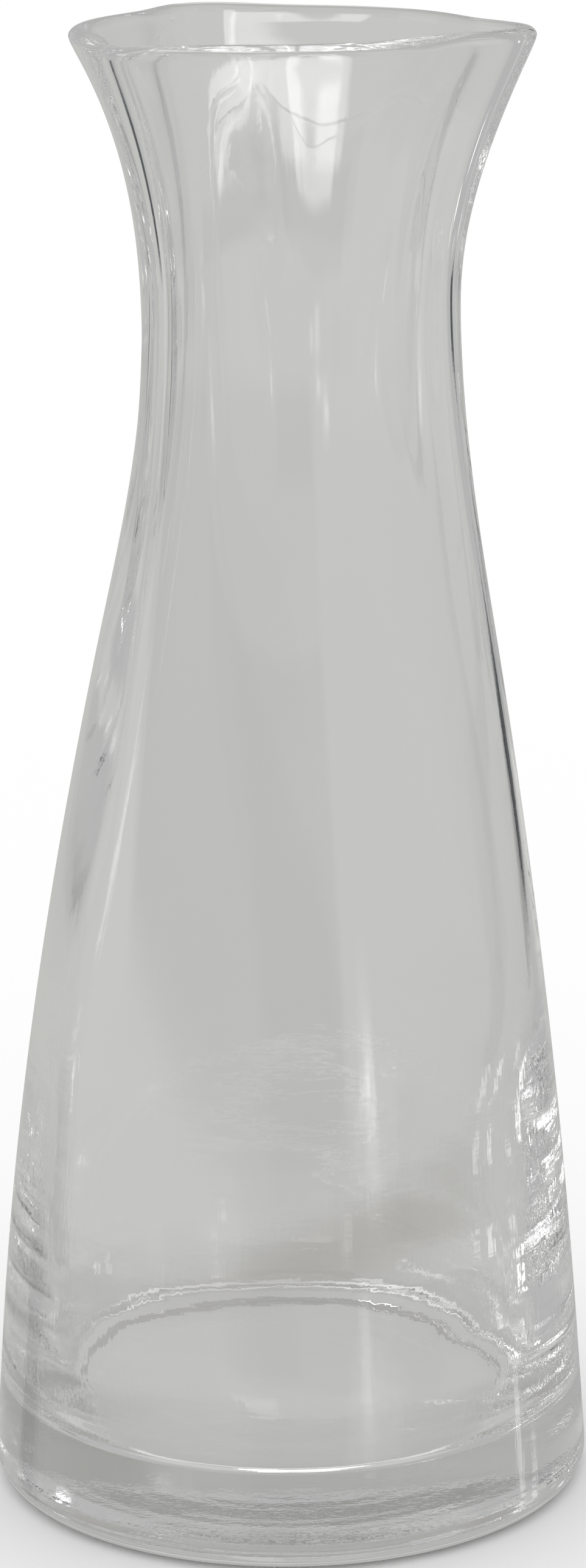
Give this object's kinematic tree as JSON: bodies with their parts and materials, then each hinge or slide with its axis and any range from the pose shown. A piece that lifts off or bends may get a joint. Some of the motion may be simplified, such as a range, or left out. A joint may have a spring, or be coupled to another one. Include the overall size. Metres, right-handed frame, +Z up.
{
  "type": "water carafe",
  "caption": "Clear glass water carafe with a thick solid foot, a conical body, a waisted neck and a flared mouth drawn into pouring lips.",
  "frame": {"origin": "centre of the foot, on the plane that the carafe stands on", "axes": "+Z up the carafe's axis to the mouth, +X through one of the pouring lips"},
  "size_m": [0.103, 0.103, 0.25],
  "materials": {
    "glass": "clear, colourless soda-lime glass, fire-polished rim"
  },
  "bodies": {
    "root": {"base": "glass", "body": "glass", "neck": "glass", "mouth": "glass"}
  },
  "joints": []
}
